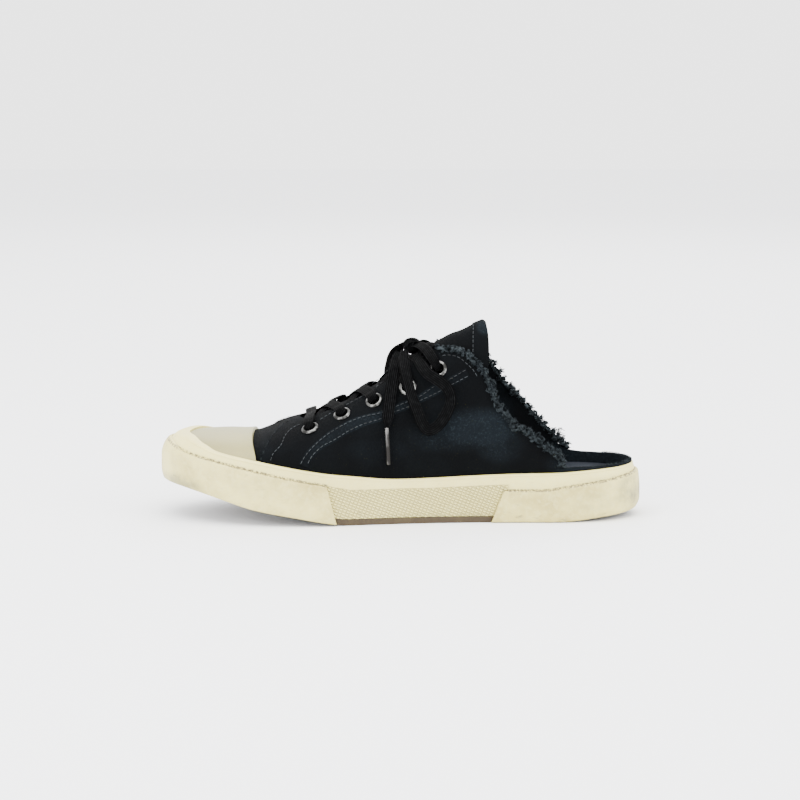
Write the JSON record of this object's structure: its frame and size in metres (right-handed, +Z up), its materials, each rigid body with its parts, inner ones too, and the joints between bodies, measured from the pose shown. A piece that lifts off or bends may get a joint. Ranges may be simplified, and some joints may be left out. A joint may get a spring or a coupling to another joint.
{
  "type": "sneaker mule",
  "caption": "Low canvas sneaker cut away behind the instep to a backless mule, with rubber toe cap, foxing and bow-tied flat lace.",
  "frame": {"origin": "on the floor under the middle of the sole's length, on the sole's centre line", "axes": "+X from the toe towards the heel, +Y towards the medial side, +Z up"},
  "size_m": [0.3, 0.1039, 0.1208],
  "materials": {
    "gum_rubber": "matt brown gum rubber",
    "sole_filler": "matt foam rubber",
    "insole_cloth": "black brushed cloth",
    "cream_rubber": "satin cream rubber, scuffed and a little dirty",
    "cap_rubber": "smooth cream rubber, slightly glossy, worn grey",
    "black_canvas": "washed black cotton canvas, faded blue-grey in places",
    "eyelet_metal": "plain silver metal, a little tarnished",
    "lace_cloth": "flat black woven cotton lace",
    "aglet_metal": "thin crimped metal tip",
    "frayed_threads": "loose faded grey-blue threads"
  },
  "bodies": {
    "root": {"outsole": "gum_rubber", "midsole": "sole_filler", "insole": "insole_cloth", "foxing": "cream_rubber", "toe_bumper": "cream_rubber", "heel_bumper": "cream_rubber", "upper": "black_canvas", "toe_cap": "cap_rubber", "tongue": "black_canvas", "eyelet_lateral_1": "eyelet_metal", "eyelet_lateral_2": "eyelet_metal", "eyelet_lateral_3": "eyelet_metal", "eyelet_lateral_4": "eyelet_metal", "eyelet_lateral_5": "eyelet_metal", "eyelet_medial_1": "eyelet_metal", "eyelet_medial_2": "eyelet_metal", "eyelet_medial_3": "eyelet_metal", "eyelet_medial_4": "eyelet_metal", "eyelet_medial_5": "eyelet_metal", "lace_bar": "lace_cloth", "lace_crossing_1": "lace_cloth", "lace_crossing_2": "lace_cloth", "lace_crossing_3": "lace_cloth", "lace_crossing_4": "lace_cloth", "lace_knot": "lace_cloth", "lace_loop_lateral": "lace_cloth", "lace_end_lateral": "lace_cloth", "aglet_lateral": "aglet_metal", "frayed_edge_lateral": "frayed_threads", "lace_loop_medial": "lace_cloth", "lace_end_medial": "lace_cloth", "aglet_medial": "aglet_metal", "frayed_edge_medial": "frayed_threads"}
  },
  "joints": []
}
